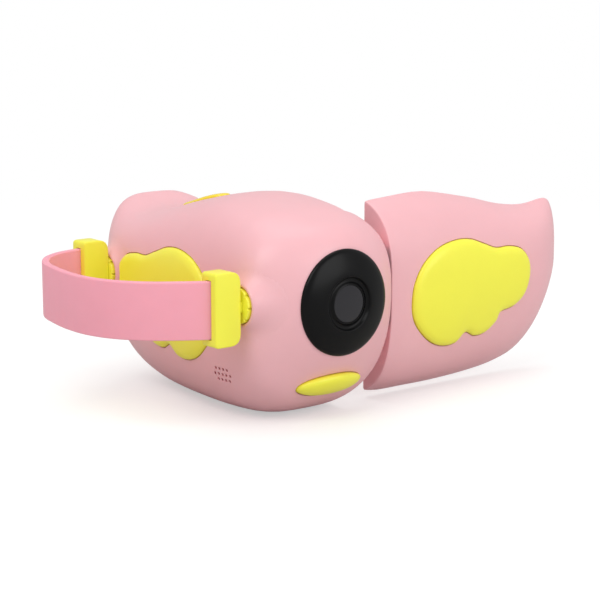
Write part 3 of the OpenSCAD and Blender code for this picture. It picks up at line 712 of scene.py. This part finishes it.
for b, word in BOSS_B:
    out = rounded([(-31, -10.9), (-40, -10.9), (-40, 10.9), (-31, 10.9)], [3.6, 1.3, 1.3, 3.6], 7)
    near = 1.2 if word == "rear" else 0
    out = [(x + near, BOSS + z) for x, z in out]
    clip = soften(prism(f"{word}_clip_visual", out, b - 3.5, b + 3.5, 1), 0.45, 3)
    boolean(clip, [box("t_slot", -42, -33 + near, b - 1.25, b + 1.25, BOSS - 8.7, BOSS + 8.7)])
    neck = box("t_neck", -31.3, -29.6, b - 2.5, b + 2.5, BOSS - 1.6, BOSS + 1.6, bevel=0.3)
    disc = rounded([(0, 29.8), (5.25, 29.8), (5.25, 27.6), (3, 27.6), (3, 22.5), (0, 22.5)],
                   [0, 0.5, 0.3, 0, 0.3, 0])
    disc = lathe("t_disc", disc, (0, b, BOSS), (-1, 0, 0), 96)
    hub = Vector(at(0, b))
    for p in disc.data.vertices:
        y, z = p.co.y - hub.y, p.co.z - hub.z
        if math.hypot(y, z) > 0.0047 and (math.atan2(z, y) / math.pi * 4 + 0.06) % 1 < 0.15:
            p.co.y, p.co.z = hub.y + y * 0.9, hub.z + z * 0.9
    boolean(clip, [neck, disc], "UNION")
    done(clip, f"{word}_clip", YELLOW, [f"{word}_strap_clip"], 35)
    done(collar(f"{word}_collar_visual", b), "camera", PINK, [f"{word}_strap_socket"], 50)

# ---------------------------------------------------------------- controls
for b, word in ((30, "power"), (43, "mode"), (56, "playback")):
    prof = [(0, 9), (1.5, 9), (1.5, 10.4), (5, 10.4), (5, 11.2), (3.9, 11.2), (3.9, 14.2)]
    prof = rounded(prof + [(3.2, 14.1), (0, 13.95)], [0, 0.2, 0.1, 0.2, 0.2, 0.1, 0.6, 1.2, 0])
    done(lathe(f"{word}_button_visual", prof, (0, b, 31), (1, 0, 0), 72), word, BUTTON, [f"{word}_button"],
         50)
prof = [(0, 89.6), (2, 89.6), (2, 92.2), (7, 92.2), (7, 93.5), (6, 93.5), (6, 102.3), (4.6, 102), (0, 101.6)]
done(lathe("record_button_visual", rounded(prof, [0, 0.2, 0.1, 0.3, 0.3, 0.1, 1.0, 1.6, 0]), (0, 0, 44),
           (0, 1, 0), 72), "record", BUTTON, ["record_button"], 50)

# ---------------------------------------------------------------- studio
floor_v = [(5 * math.cos(t), 5 * math.sin(t), -0.0002) for t in np.linspace(0, 2 * math.pi, 65)[:-1]]
me = bpy.data.meshes.new("floor")
me.from_pydata(floor_v, [], [tuple(range(64))])
floor = bpy.data.objects.new("floor", me)
scene.collection.objects.link(floor)
paper = material("floor_paper", lin(206, 206, 205), 0.95, var=0.004, grain=0.05, size=2.0, patch=60)
nt = paper.node_tree
new, link = nt.nodes.new, nt.links.new
shade = nt.nodes["Principled BSDF"]
shade.inputs["Specular IOR Level"].default_value = 0.0
ray = new("ShaderNodeLightPath")
glow = new("ShaderNodeMath")
glow.operation = "MULTIPLY"
glow.inputs[1].default_value = 0.45
link(ray.outputs["Is Camera Ray"], glow.inputs[0])
shade.inputs["Emission Color"].default_value = (1, 1, 1, 1)
link(glow.outputs[0], shade.inputs["Emission Strength"])
spot = new("ShaderNodeNewGeometry")
far = new("ShaderNodeVectorMath")
far.operation = "LENGTH"
link(spot.outputs["Position"], far.inputs[0])
fade = new("ShaderNodeMapRange")
fade.inputs["From Min"].default_value = 0.14
fade.inputs["From Max"].default_value = 0.5
link(far.outputs["Value"], fade.inputs["Value"])
clear = new("ShaderNodeBsdfTransparent")
both = new("ShaderNodeMixShader")
link(fade.outputs["Result"], both.inputs[0])
link(shade.outputs[0], both.inputs[1])
link(clear.outputs[0], both.inputs[2])
link(both.outputs[0], nt.nodes["Material Output"].inputs["Surface"])
floor.data.materials.append(paper)

world = bpy.data.worlds.new("studio")
scene.world = world
world.use_nodes = True
nt = world.node_tree
back_white = nt.nodes["Background"]
back_white.inputs["Color"].default_value = (1, 1, 1, 1)
ray = nt.nodes.new("ShaderNodeLightPath")
level = nt.nodes.new("ShaderNodeMapRange")
level.inputs["To Min"].default_value = 0.64
level.inputs["To Max"].default_value = 1.0
nt.links.new(ray.outputs["Is Camera Ray"], level.inputs["Value"])
nt.links.new(level.outputs["Result"], back_white.inputs["Strength"])


def lamp(name, spot, target, size, watts):
    """A square area light at spot, turned to target."""
    d = bpy.data.lights.new(name, "AREA")
    d.shape, d.size, d.energy = "SQUARE", size, watts
    o = bpy.data.objects.new(name, d)
    scene.collection.objects.link(o)
    o.location = spot
    o.rotation_mode = "QUATERNION"
    o.rotation_quaternion = (Vector(spot) - Vector(target)).to_track_quat("Z", "Y")
    return o


lamp("key", (-0.75, -0.35, 0.95), (0, 0, 0.04), 0.7, 4.4)
lamp("fill", (0.35, -1.1, 0.5), (0, 0, 0.04), 0.8, 4)
lamp("top", (0.1, 0.2, 1.2), (0, 0, 0.04), 0.9, 2.8)
